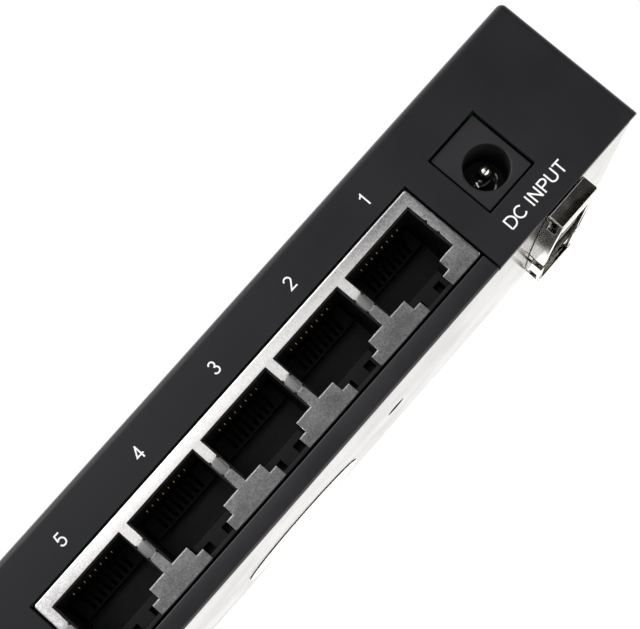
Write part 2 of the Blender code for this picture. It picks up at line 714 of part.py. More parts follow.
def main():
    clear_scene()
    black_paint = material("black_paint", (0.022, 0.022, 0.026), 0.45, 0.0)
    tin = material("tin", (0.62, 0.61, 0.6), 0.38, 1.0)
    black_plastic = material("black_plastic", (0.015, 0.015, 0.016), 0.5, 0.0)
    gold = material("gold", (0.83, 0.6, 0.25), 0.3, 1.0)
    nickel = material("nickel", (0.66, 0.64, 0.61), 0.18, 1.0)
    screw_steel = material("screw_steel", (0.12, 0.12, 0.13), 0.4, 1.0)
    board_green = material("board_green", (0.02, 0.16, 0.06), 0.4, 0.0)
    lens = material("lens", (0.1, 0.6, 0.18), 0.2, 0.0)
    paper = material("label", (0.8, 0.8, 0.78), 0.5, 0.0)
    can = material("can", (0.55, 0.56, 0.58), 0.3, 1.0)

    make_cover(black_paint)
    make_bottom_plate(black_paint)
    make_end_screws(screw_steel)
    make_label(paper)
    make_shield(tin)
    make_housing(black_plastic)
    make_contact_sets(gold)
    make_jack(black_plastic, nickel)
    make_board(board_green, nickel)
    make_components(black_plastic, can, nickel)
    make_lamps(black_plastic, lens)
    for side, x in CLIPS.items():
        make_clip(side, x, nickel, nickel, screw_steel)


main()
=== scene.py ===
"""Looks of the five-port network switch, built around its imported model.

Lengths are in millimetres, and MM turns them into metres.
X runs along the case towards the power jack, the ports face -Y, and +Z is up.
"""
import json
import math

import bmesh
import bpy
from mathutils import Matrix, Vector


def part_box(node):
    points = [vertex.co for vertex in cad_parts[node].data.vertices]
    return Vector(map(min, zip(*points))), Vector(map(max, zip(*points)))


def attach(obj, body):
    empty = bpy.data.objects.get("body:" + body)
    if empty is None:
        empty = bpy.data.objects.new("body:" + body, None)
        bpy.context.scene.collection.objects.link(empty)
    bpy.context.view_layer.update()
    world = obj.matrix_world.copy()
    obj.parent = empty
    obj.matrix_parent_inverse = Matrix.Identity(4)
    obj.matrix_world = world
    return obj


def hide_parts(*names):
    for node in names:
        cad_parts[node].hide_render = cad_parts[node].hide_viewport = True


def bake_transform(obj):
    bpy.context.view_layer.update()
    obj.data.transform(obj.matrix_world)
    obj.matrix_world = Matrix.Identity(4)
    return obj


MM = 0.001
scene = bpy.context.scene
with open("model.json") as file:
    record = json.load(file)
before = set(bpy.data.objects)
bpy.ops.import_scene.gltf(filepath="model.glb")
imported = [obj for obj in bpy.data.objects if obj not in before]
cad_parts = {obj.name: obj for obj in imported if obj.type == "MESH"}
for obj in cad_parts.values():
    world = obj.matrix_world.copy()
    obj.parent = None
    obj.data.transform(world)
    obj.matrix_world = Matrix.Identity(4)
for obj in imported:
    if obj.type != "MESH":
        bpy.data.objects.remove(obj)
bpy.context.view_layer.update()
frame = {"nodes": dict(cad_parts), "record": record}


def node_box(node):
    """Lowest and highest corner of a CAD node, in millimetres."""
    low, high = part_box(node)
    return low / MM, high / MM


# Places taken from the frame
CASE_LO, CASE_HI = node_box("top_cover")
PLATE_LO, PLATE_HI = node_box("bottom_plate")
BLOCK_LO, BLOCK_HI = node_box("port_shield")
JACK_LO, JACK_HI = node_box("jack_housing")
PIN_LO, PIN_HI = node_box("jack_pin")
LABEL_LO, LABEL_HI = node_box("rating_label")
PORTS = 5
SIDES = ("right", "left")
PORT_X = [sum(c.x for c in node_box(f"contact_set_{k + 1}")) / 2 for k in range(PORTS)]
PORT_PITCH = PORT_X[0] - PORT_X[1]
JACK_AXIS = ((PIN_LO.x + PIN_HI.x) / 2, (PIN_LO.z + PIN_HI.z) / 2)
FRONT, BACK = CASE_LO.y, CASE_HI.y
CASE_HALF = CASE_HI.x
GAP = 0.3            # clearance between neighbouring pieces
SHEET = 1.0          # steel sheet of the cover and the bottom plate
FOLD_R = 1.0         # outside radius of the cover's folds
LIP_R = 0.35         # outside radius of the plate's fold
BACK_RAISED, ENDS_RAISED = 0.2, 0.45     # the cover's walls end this far above the plate's underside

# Port block
OPEN_HALF, OPEN_TOP = 6.28, 17.2
STEP_1_Z, STEP_1_HALF = 9.4, 3.475
STEP_2_Z, STEP_2_HALF = 7.74, 2.25
FINGER_TOP, FINGER_LOW = 14.26, 11.8     # reach of the ground fingers on the strips between ports
SHIELD = 0.4
CAVITY_BACK = FRONT + 12.6
CHANNEL_BACK = FRONT + 5.8
POCKET_X, POCKET_LOW = 1.8, 7.07         # two blind pockets behind each latch channel
COMB_LO, COMB_HI = 13.75, 16.7
WIRES, WIRE_PITCH = 8, 1.02

# Case details
VENTS, VENT_PITCH, VENT_Z, VENT_W, VENT_L = 7, 3.5, 17.0, 1.6, 8.0
LAMPS, LAMP_PITCH, LAMP_X0, LAMP_Z, LAMP_R = 6, 8.0, -38.0, 15.5, 1.5
END_SCREW_Y, END_SCREW_Z, END_HOLE_R, TAB_HOLE_R = 13.0, 8.0, 3.0, 1.8
PLATE_HOLE, PLATE_HOLE_R = (7.1, 1.4), 1.6
SHOULDER_Y, SHOULDER_HOLE_R = (-11.8, -6.4), 1.6        # screws that guide the latches

# Rail clips
CLIP_HALF, CLIP_T = 3.5, 0.7
CLIP_X = {side: node_box(f"clip_base_{side}")[1].x - CLIP_HALF for side in SIDES}
CLIP_TOP = PLATE_LO.z - 0.07
BOW = 1.0            # how far the clips' left walls bow out
WEB = 1.8            # reach of the webs that tie these walls to the clips' plates
JAW_R = 0.3
LIP = 1.9            # reach of the jaws' lips
FLANGE = 4.2         # depth of the slots for the rail's edges
CROSS_Y = FRONT + 21.0                   # wall across the latch
LATCH_WALL_END, BASE_WALL_START = FRONT + 22.0, FRONT + 26.2

# Camera: it stands in front of the ports, below the case, and is turned about its own axis
CAMERA_AT = (-17.17, -245.24, -15.06)
CAMERA_AIM = (7.52, -21.0, 16.36)
CAMERA_ROLL = -49.25
LENS = 99.56
FLOOR_Z = -60.0
FLOOR_OUTLINE = ((-95, -260), (4000, -260), (4000, 4000), (-1040, 4000), (-40, 280), (-95, 60))

# Brightness of the studio by direction, and patches of it: spans across and up, and how soft
# their edges are, in degrees. The flag and the curtain darken what the clips and the plate mirror.
FRONT_LIGHT, BACK_LIGHT, TOP_LIGHT, SOFT_BOX = 0.2, 1.7, 1.25, 1.12
SOFT_BOX_PATCH = ((-38.0, 8.0), (8.0, 38.0), 16.0, 5.0)
FLAG_PATCH = ((17.8, 50.0), (-30.0, 14.0), 2.6, 5.0)
CURTAIN_PATCH = ((11.5, 60.0), (-40.0, 14.0), 2.0, 3.0)
KEY_AT, KEY_AIM, KEY_SIZE, KEY_POWER = (-120, -260, 420), (0, 0, 10), (420, 300), 1.35


# Shader helpers -----------------------

class Graph:
    """A node tree to which short calls add nodes."""

    def __init__(self, tree):
        self.tree = tree

    def link(self, source, target):
        """Feed an input from an output, or give it a number, a vector or a colour."""
        if isinstance(source, bpy.types.NodeSocket):
            self.tree.links.new(source, target)
        elif target.type == "RGBA":
            target.default_value = (*source, 1.0)
        else:
            target.default_value = source

    def add(self, kind, inputs=None, **settings):
        """A new node, with values for some of its inputs by name or number."""
        node = self.tree.nodes.new(kind)
        for key, value in settings.items():
            setattr(node, key, value)
        for key, value in (inputs or {}).items():
            self.link(value, node.inputs[key])
        return node

    def maths(self, operation, *values):
        node = self.add("ShaderNodeMath", dict(enumerate(values)), operation=operation)
        return node.outputs[0]

    def product(self, first, second):
        return self.maths("MULTIPLY", first, second)

    def spread(self, value, low, high, out_low=0.0, out_high=1.0, kind="LINEAR"):
        """Stretch a value from low..high to out_low..out_high, and hold it there."""
        inputs = {"Value": value, "From Min": low, "From Max": high,
                  "To Min": out_low, "To Max": out_high}
        return self.add("ShaderNodeMapRange", inputs, interpolation_type=kind).outputs["Result"]


class Shader(Graph):
    """A Principled material with procedural inputs."""

    def __init__(self, name, colour, roughness, metallic=0.0, **fixed):
        self.material = bpy.data.materials.new(name)
        self.material.use_nodes = True
        super().__init__(self.material.node_tree)
        self.principled = self.tree.nodes["Principled BSDF"]
        self.give("Base Color", colour)
        self.give("Roughness", roughness)
        self.give("Metallic", metallic)
        for key, value in fixed.items():
            self.give(key.replace("_", " "), value)
        self.coords = self.add("ShaderNodeTexCoord").outputs["Object"]

    def give(self, name, value):
        self.link(value, self.principled.inputs[name])

    def stretched(self, scale):
        """The object's coordinates, scaled by a different factor along each axis."""
        mapping = self.add("ShaderNodeMapping", {"Vector": self.coords, "Scale": scale})
        return mapping.outputs["Vector"]

    def noise(self, grain, detail=3.0, rough=0.5, coords=None):
        """Noise with features of about grain millimetres."""
        inputs = {"Scale": 1 / (grain * MM), "Detail": detail, "Roughness": rough,
                  "Vector": coords or self.coords}
        return self.add("ShaderNodeTexNoise", inputs).outputs["Fac"]

    def mix(self, factor, first, second, span=None, blend="MIX"):
        """Mix two colours; a span stretches the factor from low..high."""
        if span:
            factor = self.spread(factor, *span)
        node = self.add("ShaderNodeMix", {0: factor, 6: first, 7: second},
                        data_type="RGBA", blend_type=blend)
        return node.outputs[2]

    def axis(self, name):
        """One coordinate of the object, in millimetres."""
        node = self.add("ShaderNodeSeparateXYZ", {0: self.coords})
        return self.maths("DIVIDE", node.outputs[name], MM)

    def colour(self, socket):
        self.give("Base Color", socket)

    def roughness(self, value, smooth, rough, low=0.3):
        """Go from smooth to rough as a value goes from low to 0.7."""
        self.give("Roughness", self.spread(value, low, 0.7, smooth, rough))

    def bump(self, height, depth, strength, under=None):
        """Raise the surface by height times depth micrometres."""
        inputs = {"Height": height, "Distance": depth * 1e-6, "Strength": strength}
        if under:
            inputs["Normal"] = under
        raised = self.add("ShaderNodeBump", inputs).outputs["Normal"]
        self.give("Normal", raised)
        return raised


def powder_coat(name, dark, light, low=0.36, high=0.5):
    """Fine matt paint: hard specks over a slow orange peel, with faint rubbed patches."""
    s = Shader(name, dark, low, Specular_IOR_Level=0.28)
    grain = s.noise(0.16, 2.0)
    peel = s.noise(0.9, 2.0)
    patches = s.noise(14.0, 4.0, 0.6)
    s.colour(s.mix(patches, dark, light, (0.35, 0.75)))
    s.roughness(patches, low, high)
    rounded = s.bump(peel, 14.0, 0.5)
    s.bump(grain, 7.0, 0.6, rounded)
    return s.material


def plate_coat(name):
    """The bottom plate's smoother coat, which mirrors at a low angle."""
    s = Shader(name, (0.017, 0.017, 0.02), 0.16, Specular_IOR_Level=0.5)
    grain = s.noise(0.3, 2.0)
    patches = s.noise(12.0, 4.0, 0.6)
    s.colour(s.mix(patches, (0.0155, 0.0155, 0.0175), (0.0205, 0.0205, 0.023), (0.35, 0.75)))
    s.roughness(patches, 0.12, 0.2)
    s.bump(grain, 1.0, 0.5)
    return s.material


def tin_plate(name):
    """Tinned steel: a close metallic grain, bright on all edges; the mid-front has a painted highlight.

    Painted shade darkens the front below the ground fingers and towards both ends. A thin painted
    highlight runs along the ledges of the openings' steps, and the lower rim is painted dark as shade.
    """
    s = Shader(name, (0.6, 0.59, 0.585), 0.36, 1.0)
    grain = s.noise(0.2, 2.0, 0.7)
    speck = s.noise(0.3, 3.0, 0.7)
    blotch = s.noise(3.0, 4.0, 0.6)
    x, y, z = s.axis("X"), s.axis("Y"), s.axis("Z")
    # Painted highlight: right, left and high mark the middle of the front above the fingers, which is
    # painted brighter, with faint blotches added.
    right = s.spread(x, 12.5, 21.5, 1.0, 0.0)
    left = s.spread(x, -42.0, -31.0, 0.25, 1.0)
    high = s.spread(z, FINGER_TOP - 0.5, FINGER_TOP + 0.5)
    bright = s.product(s.product(right, left), high)
    blotches_and_painted_highlight = s.maths("ADD", s.product(s.spread(blotch, 0.3, 0.7), 0.12), bright)
    # Painted shade: below the fingers the front is darker, and at the right end it darkens towards the
    # bottom; dull holds this painted shade.
    shade_below_fingers = s.mix(high, (0.22, 0.216, 0.223), (0.58, 0.57, 0.58))
    end = s.mix(z, (0.28, 0.276, 0.28), (0.6, 0.59, 0.6), (6.0, 17.0))
    dull = s.mix(x, shade_below_fingers, end, (22.0, 25.0))
    front = s.mix(blotches_and_painted_highlight, dull, (0.95, 0.93, 0.92))
    from_port = s.maths("PINGPONG", s.maths("SUBTRACT", x, PORT_X[0]), PORT_PITCH / 2)
    # Painted highlight: a thin bright line along the ledge of each step.
    for step, reach in ((STEP_1_Z, OPEN_HALF), (STEP_2_Z, STEP_1_HALF)):
        above = s.spread(z, step - 0.21, step - 0.15)
        below = s.spread(z, step + 0.2, step + 0.3, 1.0, 0.0)
        beside = s.spread(from_port, reach - 0.03, reach, 1.0, 0.0)
        ledge_highlight = s.product(s.product(above, below), beside)
        front = s.mix(ledge_highlight, front, (0.62, 0.61, 0.6))
    # Edges and folds behind the front plane keep the plain tin, without the front's painted shade.
    unshaded_tin = s.mix(blotch, (0.85, 0.84, 0.83), (0.7, 0.69, 0.68), (0.4, 0.75))
    edge = s.spread(y, BLOCK_LO.y + 0.012, BLOCK_LO.y + 0.03)
    whole = s.mix(edge, front, unshaded_tin)
    # Painted shade: the lowest rim of the front is painted nearly black.
    painted_rim_shade = s.spread(z, BLOCK_LO.z + 0.17, BLOCK_LO.z + 0.24)
    whole = s.mix(painted_rim_shade, (0.05, 0.05, 0.052), whole)
    grainy = s.mix(grain, (0.68, 0.68, 0.68), (1.2, 1.2, 1.2), (0.35, 0.65))
    shade = s.mix(s.product(bright, 0.6), grainy, (0.97, 0.97, 0.97))
    s.colour(s.mix(1.0, whole, shade, blend="MULTIPLY"))
    s.roughness(speck, 0.27, 0.42)
    slow = s.bump(blotch, 8.0, 0.3)
    s.bump(grain, 3.0, 0.5, under=slow)
    return s.material


def finger_tin(name):
    """The sprung tongues of the shield: the same tin, painted dark as shade like the front around them.
    """
    s = Shader(name, (0.24, 0.24, 0.235), 0.4, 1.0)
    grain = s.noise(0.12, 2.0, 0.7)
    streak = s.noise(0.5, 3.0, 0.6, s.stretched((1.0, 1.0, 0.2)))
    s.colour(s.mix(streak, (0.2, 0.2, 0.196), (0.29, 0.287, 0.28), (0.3, 0.7)))
    s.roughness(grain, 0.3, 0.46)
    s.bump(grain, 3.0, 0.5)
    return s.material


def contact_tin(name):
    """The jack's sleeve contact: bright satin tin."""
    s = Shader(name, (0.9, 0.89, 0.87), 0.34, 1.0)
    grain = s.noise(0.5, 3.0, 0.6)
    s.colour(s.mix(grain, (0.55, 0.545, 0.53), (0.95, 0.94, 0.92), (0.35, 0.65)))
    s.roughness(grain, 0.28, 0.4)
    return s.material


def nickel_plate(name):
    """Polished nickel with faint lines left by the rolling of the sheet."""
    tint, dull, low, high = (0.62, 0.6, 0.57), (0.508, 0.492, 0.467), 0.06, 0.15
    s = Shader(name, tint, low, 1.0)
    haze = s.noise(1.6, 4.0, 0.6)
    lines = s.noise(0.25, 2.0, 0.5, s.stretched((1.0, 0.06, 1.0)))
    s.colour(s.mix(haze, tint, dull, (0.45, 0.75)))
    s.roughness(haze, low, high, low=0.35)
    s.bump(lines, 1.6, 0.2)
    return s.material


def moulded(name, dark, light, low, high, grain, gloss=0.45):
    """Moulded black plastic with a fine spark-eroded texture."""
    s = Shader(name, dark, low, Specular_IOR_Level=gloss)
    texture = s.noise(grain, 3.0, 0.6)
    cloud = s.noise(5.0, 3.0)
    s.colour(s.mix(cloud, dark, light, (0.35, 0.7)))
    s.roughness(texture, low, high)
    s.bump(texture, 9.0, 0.5)
    return s.material


# The gold is painted much darker than gold plate: painted shade for the wires deep in the ports.
def gold_plate(name):
    s = Shader(name, (0.16, 0.11, 0.055), 0.14, 1.0)
    haze = s.noise(0.6, 3.0)
    s.colour(s.mix(haze, (0.16, 0.11, 0.055), (0.1, 0.07, 0.035), (0.4, 0.7)))
    s.roughness(haze, 0.1, 0.2, low=0.35)
    return s.material


def white_ink(name):
    """Pad-printed ink, a little thin in places."""
    s = Shader(name, (0.8, 0.8, 0.8), 0.5)
    thin = s.noise(0.22, 3.0, 0.7)
    s.colour(s.mix(thin, (0.86, 0.87, 0.88), (0.4, 0.41, 0.42), (0.62, 0.8)))
    s.roughness(thin, 0.42, 0.6)
    s.bump(thin, 3.0, 0.4)
    return s.material


def label_paper(name):
    s = Shader(name, (0.8, 0.8, 0.78), 0.5)
    fibre = s.noise(0.3, 4.0, 0.6, s.stretched((1.0, 0.35, 1.0)))
    stain = s.noise(9.0, 3.0)
    fresh = s.mix(fibre, (0.74, 0.74, 0.72), (0.82, 0.82, 0.8), (0.3, 0.7))
    s.colour(s.mix(stain, fresh, (0.68, 0.66, 0.61), (0.5, 0.8)))
    s.roughness(fibre, 0.4, 0.6)
    s.bump(fibre, 4.0, 0.4)
    return s.material


def solder_mask(name):
    """Green lacquer over copper tracks, which show as slightly raised paler lines."""
    s = Shader(name, (0.01, 0.12, 0.05), 0.3)
    tracks = {"Vector": s.coords, "Scale": 1 / (2.4 * MM), "Mortar Size": 0.035,
              "Brick Width": 1.7, "Row Height": 0.42}
    line = s.add("ShaderNodeTexBrick", tracks).outputs["Fac"]
    cloud = s.noise(7.0, 3.0)
    mask = s.mix(cloud, (0.008, 0.1, 0.04), (0.014, 0.14, 0.055), (0.35, 0.7))
    s.colour(s.mix(line, mask, (0.03, 0.26, 0.1)))
    s.roughness(cloud, 0.24, 0.38)
    s.bump(line, 30.0, 0.5)
    return s.material


def can_metal(name):
    s = Shader(name, (0.6, 0.61, 0.62), 0.28, 1.0)
    rings = s.noise(0.4, 2.0, 0.5, s.stretched((0.1, 0.1, 1.0)))
    s.colour(s.mix(rings, (0.66, 0.67, 0.68), (0.5, 0.51, 0.52), (0.3, 0.7)))
    s.roughness(rings, 0.22, 0.36)
    s.bump(rings, 3.0, 0.4)
    return s.material


def lens_plastic(name):
    s = Shader(name, (0.08, 0.5, 0.14), 0.12, Transmission_Weight=0.35, IOR=1.5)
    flow = s.noise(1.2, 3.0)
    s.colour(s.mix(flow, (0.06, 0.45, 0.12), (0.12, 0.6, 0.2), (0.3, 0.7)))
    s.roughness(flow, 0.08, 0.16)
    return s.material


def floor_paint(name):
    s = Shader(name, (0.93, 0.92, 0.91), 0.6)
    cloud = s.noise(300.0, 3.0)
    s.colour(s.mix(cloud, (0.93, 0.915, 0.893), (0.96, 0.945, 0.922)))
    return s.material


LOOKS = {
    "case_paint": (powder_coat, (0.0085, 0.0088, 0.0108), (0.0108, 0.011, 0.013)),
    "plate_paint": (plate_coat,),
    "screw_steel": (powder_coat, (0.018, 0.018, 0.02), (0.03, 0.03, 0.033), 0.25, 0.4),
    "label": (label_paper,),
    "label_pad": (moulded, (0.02, 0.02, 0.021), (0.03, 0.03, 0.031), 0.6, 0.8, 0.4),
    "shield_tin": (tin_plate,),
    "finger_tin": (finger_tin,),
    "black_plastic": (moulded, (0.0022, 0.0024, 0.0029), (0.0034, 0.0037, 0.0045), 0.4, 0.55, 0.25, 0.3),
    "chip_plastic": (moulded, (0.014, 0.014, 0.015), (0.022, 0.022, 0.023), 0.5, 0.7, 0.15),
    # comb_plastic: a darker, less glossy copy of black_plastic, as painted shade for the combs deep in
    # the ports.
    "comb_plastic": (moulded, (0.0008, 0.0009, 0.0011), (0.0012, 0.0013, 0.0016), 0.4, 0.55, 0.25, 0.12),
    "contact_gold": (gold_plate,),
    "contact_tin": (contact_tin,),
    "nickel": (nickel_plate,),
    "can_aluminium": (can_metal,),
    "board": (solder_mask,),
    "lamp_lens": (lens_plastic,),
    "ink": (white_ink,),
    "jack_plastic": (moulded, (0.0125, 0.0127, 0.0145), (0.015, 0.0152, 0.0175), 0.45, 0.6, 0.18, 0.33),
}
MATERIALS = {name: make(name, *values) for name, (make, *values) in LOOKS.items()}


# Mesh helpers -------------------------

AXES = {
    "X": lambda u, v, w: (w, u, v),
    "Y": lambda u, v, w: (u, w, v),
    "Z": lambda u, v, w: (u, v, w),
}


def add_box(bm, lo, hi):
    size = [b - a for a, b in zip(lo, hi)]
    middle = [(a + b) / 2 for a, b in zip(lo, hi)]
    matrix = Matrix.Translation(middle) @ Matrix.Diagonal((*size, 1.0))
    return bmesh.ops.create_cube(bm, size=1.0, matrix=matrix)["verts"]


def add_prism(bm, outline, axis, lo, hi):
    """Extrude a closed outline, given in the two other axes, along axis from lo to hi."""
    place = AXES[axis]
    low = [bm.verts.new(place(u, v, lo)) for u, v in outline]
    high = [bm.verts.new(place(u, v, hi)) for u, v in outline]
    bm.faces.new(low)
    bm.faces.new(high)
    for i, vert in enumerate(low):
        j = (i + 1) % len(low)
        bm.faces.new((vert, low[j], high[j], high[i]))


def add_turned(bm, profile, axis, centre, segments=48):
    """Spin a profile of (radius, height) points about axis through centre; both ends are on it."""
    place = AXES[axis]
    rings = []
    for radius, height in profile:
        if radius == 0:
            rings.append([bm.verts.new(place(centre[0], centre[1], height))])
            continue
        ring = []
        for k in range(segments):
            turn = 2 * math.pi * k / segments
            point = (centre[0] + radius * math.cos(turn), centre[1] + radius * math.sin(turn))
            ring.append(bm.verts.new(place(*point, height)))
        rings.append(ring)
    for below, above in zip(rings, rings[1:]):
        for k in range(segments):
            n = (k + 1) % segments
            corners = [below[k % len(below)], below[n % len(below)]]
            corners += [above[n % len(above)], above[k % len(above)]]
            bm.faces.new(list(dict.fromkeys(corners)))


def rod(radius, lo, hi):
    return [(0, lo), (radius, lo), (radius, hi), (0, hi)]


def arc(centre, radius, start, stop, steps):
    """Points of an arc, with its angles in degrees; radius may be a pair for an ellipse."""
    across, up = radius if isinstance(radius, tuple) else (radius, radius)
    points = []
    for k in range(steps + 1):
        turn = math.radians(start + (stop - start) * k / steps)
        points.append((centre[0] + across * math.cos(turn), centre[1] + up * math.sin(turn)))
    return points


def slot_outline(centre, width, length):
    half = length / 2 - width / 2
    top = arc((centre[0], centre[1] + half), width / 2, 0, 180, 16)
    return top + arc((centre[0], centre[1] - half), width / 2, 180, 360, 16)


def round_off(bm, chosen, radius, steps):
    """Round the edges for which chosen(edge) is true."""
    bmesh.ops.bevel(bm, geom=[e for e in bm.edges if chosen(e)], offset=radius, segments=steps,
                    profile=0.5, affect="EDGES")


def add_skin(bm, rings):
    """Join rings of vertices one after the other, and close both ends."""
    for below, above in zip(rings, rings[1:]):
        for k, vert in enumerate(below):
            n = (k + 1) % len(below)
            bm.faces.new((vert, below[n], above[n], above[k]))
    bm.faces.new(rings[0])
    bm.faces.new(rings[-1])


def add_tube(bm, path, radius):
    """A round wire along a path of points, closed at both ends."""
    sides = 8
    points = [Vector(p) for p in path]
    rings = []
    side = None
    for k, point in enumerate(points):
        along = (points[min(k + 1, len(points) - 1)] - points[max(k - 1, 0)]).normalized()
        if side is None:
            side = along.orthogonal().normalized()
        side = (side - along * side.dot(along)).normalized()
        other = along.cross(side)
        ring = []
        for s in range(sides):
            turn = 2 * math.pi * s / sides
            out = side * math.cos(turn) + other * math.sin(turn)
            ring.append(bm.verts.new(point + out * radius))
        rings.append(ring)
    add_skin(bm, rings)


def new_object(name, data):
    made = bpy.data.objects.new(name, data)
    scene.collection.objects.link(made)
    return made


def solid(name, *builders):
    """One mesh object from functions that each add a closed body, in millimetres, to a bmesh."""
    bm = bmesh.new()
    for build in builders:
        build(bm)
    bmesh.ops.scale(bm, vec=(MM, MM, MM), verts=bm.verts)
    bmesh.ops.recalc_face_normals(bm, faces=bm.faces)
    mesh = bpy.data.meshes.new(name)
    bm.to_mesh(mesh)
    bm.free()
    return new_object(name, mesh)


def combine(made, operation, *builders):
    """Apply a Boolean of the piece with each body that the builders add."""
    for build in builders:
        tool = solid("tool", build)
        modifier = made.modifiers.new("combine", "BOOLEAN")
        modifier.operation = operation
        modifier.object = tool
        modifier.solver = "EXACT"
        graph = bpy.context.evaluated_depsgraph_get()
        result = bpy.data.meshes.new_from_object(made.evaluated_get(graph))
        made.modifiers.clear()
        made.data = result
        bpy.data.objects.remove(tool, do_unlink=True)
    return made


def cut(made, *builders):
    return combine(made, "DIFFERENCE", *builders)


def join(made, *builders):
    return combine(made, "UNION", *builders)


def box(lo, hi):
    return lambda bm: add_box(bm, lo, hi)


def prism(outline, axis, lo, hi):
    return lambda bm: add_prism(bm, outline, axis, lo, hi)


def turned(profile, axis, centre, segments=48):
    return lambda bm: add_turned(bm, profile, axis, centre, segments)


def several(builders):
    """One builder that runs all of these, whose bodies mustn't touch."""
    def build(bm):
        for one in builders:
            one(bm)
    return build


def dress(made, look, body="case", nodes=(), edge=0.1, angle=30, front_only=False):
    """Give a piece its material, rounded edges and the body it moves with."""
    made.data.materials.clear()
    made.data.materials.append(MATERIALS[look])
    for polygon in made.data.polygons:
        polygon.use_smooth = True
    if front_only:
        weigh_front_edges(made.data, angle)
    if edge:
        soften(made, edge, angle)
        if front_only:
            made.modifiers["edges"].limit_method = "WEIGHT"
    else:
        made.data.set_sharp_from_angle(angle=math.radians(angle))
    if body:
        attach(made, body)
    if nodes:
        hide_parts(*nodes)


def weigh_front_edges(mesh, angle):
    """Mark the sharp edges in the mesh's foremost plane for the bevel to round."""
    front = min(v.co.y for v in mesh.vertices) + 0.01 * MM
    low = min(v.co.z for v in mesh.vertices) + 0.01 * MM
    bm = bmesh.new()
    bm.from_mesh(mesh)
    weight = bm.edges.layers.float.new("bevel_weight_edge")
    for line in bm.edges:
        in_front = all(v.co.y < front for v in line.verts)
        under = all(v.co.z < low for v in line.verts)
        if in_front and not under and line.calc_face_angle(0.0) > math.radians(angle):
            line[weight] = 1.0
    bm.to_mesh(mesh)
    bm.free()


def soften(made, edge, angle=30):
    """Round the piece's edges by a bevel of edge millimetres."""
    bevel = made.modifiers.new("edges", "BEVEL")
    bevel.width = edge * MM
    bevel.segments = 2
    bevel.limit_method = "ANGLE"
    bevel.angle_limit = math.radians(angle)
    bevel.harden_normals = True
    bevel.use_clamp_overlap = False


# Case ---------------------------------

def at_both_ends(make, near=CASE_HALF - 3, far=CASE_HALF + 1):
    """Call make(lo, hi) at the right and left ends, with a span along X between near and far."""
    return [make(*sorted((side * near, side * far))) for side in (1, -1)]


def make_cover():
    """The folded cover: top, port panel, back and both ends."""
    def shell(bm):
        add_box(bm, (-CASE_HALF, FRONT, CASE_LO.z), (CASE_HALF, BACK, CASE_HI.z))
        round_off(bm, lambda e: max(v.co.z for v in e.verts) > CASE_HI.z - 0.1, FOLD_R, 10)

    def notch(lo, hi, low_z):
        return box((lo.x - GAP, FRONT - 1, low_z), (hi.x + GAP, FRONT + 2, hi.z + GAP))

    inside = CASE_HALF - SHEET
    hollow = box((-inside, FRONT + SHEET, CASE_LO.z - 2), (inside, BACK - SHEET, CASE_HI.z - SHEET))
    port_notch = notch(BLOCK_LO, BLOCK_HI, CASE_LO.z - 1)
    jack_notch = notch(JACK_LO, JACK_HI, JACK_LO.z - GAP)
    lamp_hole = rod(LAMP_R + GAP, BACK - 3, BACK + 1)
    lamp_holes = several(turned(lamp_hole, "Y", (LAMP_X0 + LAMP_PITCH * k, LAMP_Z))
                         for k in range(LAMPS))
    end_holes = []
    for y in (-END_SCREW_Y, END_SCREW_Y):
        end_holes += at_both_ends(
            lambda lo, hi: turned(rod(END_HOLE_R, lo, hi), "X", (y, END_SCREW_Z)))
    for k in range(VENTS):
        outline = slot_outline((VENT_PITCH * (k - (VENTS - 1) / 2), VENT_Z), VENT_W, VENT_L)
        end_holes += at_both_ends(lambda lo, hi: prism(outline, "X", lo, hi))
    short_back = box((-CASE_HALF - 1, BACK - SHEET - 1, CASE_LO.z - 1),
                     (CASE_HALF + 1, BACK + 1, CASE_LO.z + BACK_RAISED))
    short_ends = several(at_both_ends(
        lambda lo, hi: box((lo, FRONT + SHEET + GAP, CASE_LO.z - 1),
                           (hi, BACK + 1, CASE_LO.z + ENDS_RAISED))))
    cover = cut(solid("cover", shell), hollow, port_notch, jack_notch, lamp_holes, short_back,
                short_ends, several(end_holes))
    dress(cover, "case_paint", nodes=["top_cover"], edge=0.12)


def make_plate():
    """The bottom plate: upturned end tabs and the lip below the port block."""
    x_in, y_in = PLATE_HI.x, PLATE_HI.y
    z0, z1 = PLATE_LO.z, PLATE_LO.z + SHEET
    fold = arc((FRONT + LIP_R, z0 + LIP_R), LIP_R, 270, 180, 8)
    inner = FRONT + SHEET
    lip_top = 5.55
    profile = [(-y_in + 0.5, z0)] + fold
    profile += [(FRONT, lip_top), (inner, lip_top), (inner, z1), (-y_in + 0.5, z1)]
    plate = solid("plate", box((-x_in, -y_in, z0), (x_in, y_in, z1)))
    join(plate, prism(profile, "X", BLOCK_LO.x, BLOCK_HI.x))
    tab_y, tab_top = 17.0, 11.6
    tabs = at_both_ends(lambda lo, hi: box((lo, -tab_y, z0 + 0.2), (hi, tab_y, tab_top)),
                        x_in - SHEET, x_in)
    join(plate, *reversed(tabs))
    holes = []
    for y in (-END_SCREW_Y, END_SCREW_Y):
        holes += at_both_ends(
            lambda lo, hi: turned(rod(TAB_HOLE_R, lo, hi), "X", (y, END_SCREW_Z), 32),
            x_in - 3, x_in + 1)
    through = (z0 - 1, z1 + 1)
    for side in SIDES:
        for y in SHOULDER_Y:
            holes.append(turned(rod(SHOULDER_HOLE_R, *through), "Z", (CLIP_X[side], y), 32))
    holes.append(turned(rod(PLATE_HOLE_R, *through), "Z", PLATE_HOLE, 32))
    cut(plate, several(holes))
    dress(plate, "plate_paint", nodes=["bottom_plate"], edge=0.12)


